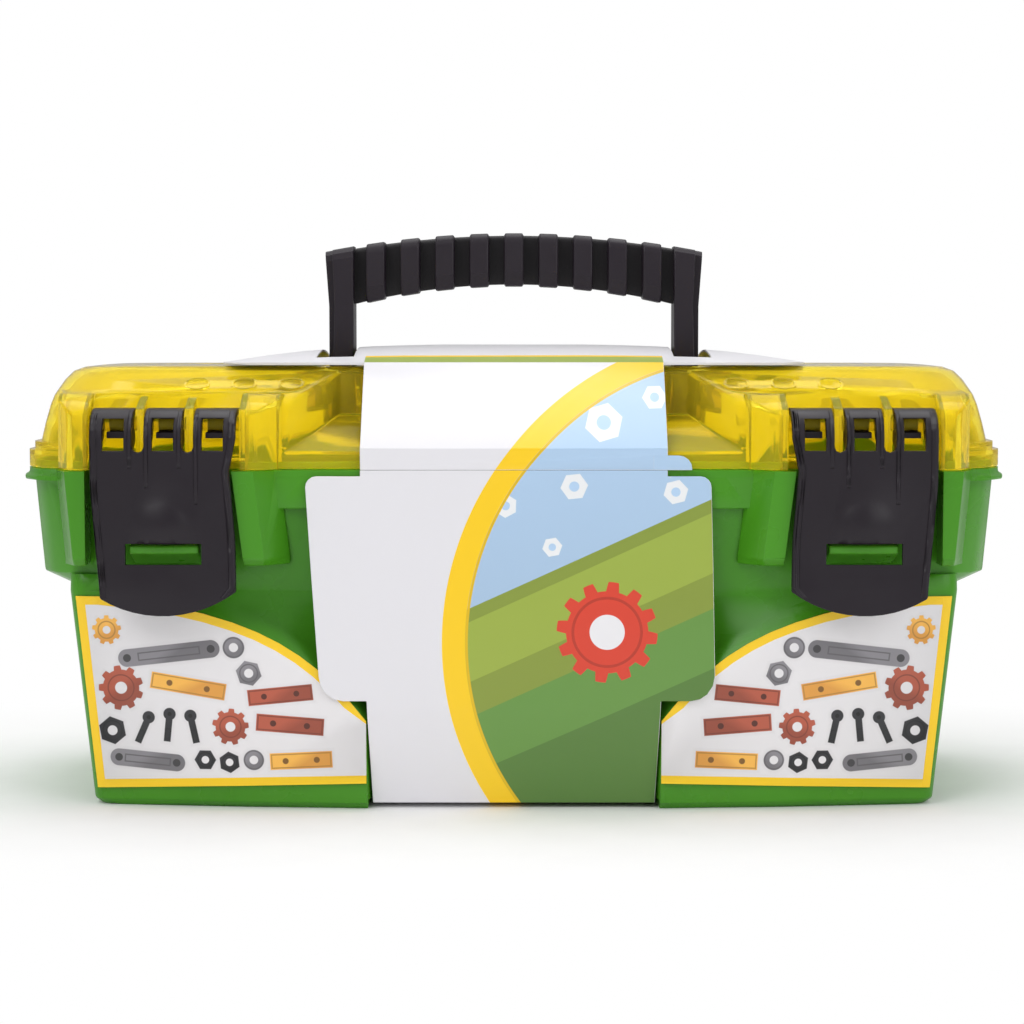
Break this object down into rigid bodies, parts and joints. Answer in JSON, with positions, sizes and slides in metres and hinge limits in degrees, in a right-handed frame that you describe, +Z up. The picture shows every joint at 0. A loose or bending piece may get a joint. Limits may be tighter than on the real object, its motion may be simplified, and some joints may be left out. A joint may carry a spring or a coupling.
{
  "type": "toy tool box",
  "caption": "Toy tool box: moulded tub, clear hinged lid, rocking ribbed carrying handle, front snap latches, printed card sleeve and front labels.",
  "frame": {"origin": "centre of the overall box, at the plane the feet stand on", "axes": "+X along the box to its right as seen from the front, +Y to the back where the lid hinges, +Z up; the latches face -Y"},
  "size_m": [0.3658, 0.177, 0.2135],
  "materials": {
    "tub_plastic": "moulded, satin gloss",
    "lid_plastic": "clear tinted moulding",
    "handle_plastic": "moulded, soft sheen",
    "latch_plastic": "moulded, soft sheen",
    "pin_steel": "drawn wire",
    "label_film": "printed film",
    "sleeve_card": "printed card, light varnish"
  },
  "bodies": {
    "tub": {"tub": "tub_plastic", "hinge_pin_left": "pin_steel", "hinge_pin_right": "pin_steel", "label_left": "label_film", "label_right": "label_film", "sleeve_lower": "sleeve_card"},
    "lid": {"lid": "lid_plastic", "sleeve_upper": "sleeve_card"},
    "handle": {"handle": "handle_plastic"},
    "latch_left": {"latch_left": "latch_plastic"},
    "latch_right": {"latch_right": "latch_plastic"}
  },
  "joints": [
    {"name": "lid_hinge", "type": "hinge", "parent": "tub", "child": "lid", "pos_m": [0, 0.0849, 0.1251], "axis": [-1, 0, 0], "range_deg": [0, 100]},
    {"name": "handle_hinge", "type": "hinge", "parent": "lid", "child": "handle", "pos_m": [0, 0.0029, 0.1521], "axis": [1, 0, 0], "range_deg": [-48, 48]},
    {"name": "latch_left_hinge", "type": "hinge", "parent": "lid", "child": "latch_left", "pos_m": [-0.1266, -0.0745, 0.142], "axis": [-1, 0, 0], "range_deg": [0, 100]},
    {"name": "latch_right_hinge", "type": "hinge", "parent": "lid", "child": "latch_right", "pos_m": [0.1266, -0.0745, 0.142], "axis": [-1, 0, 0], "range_deg": [0, 100]}
  ]
}
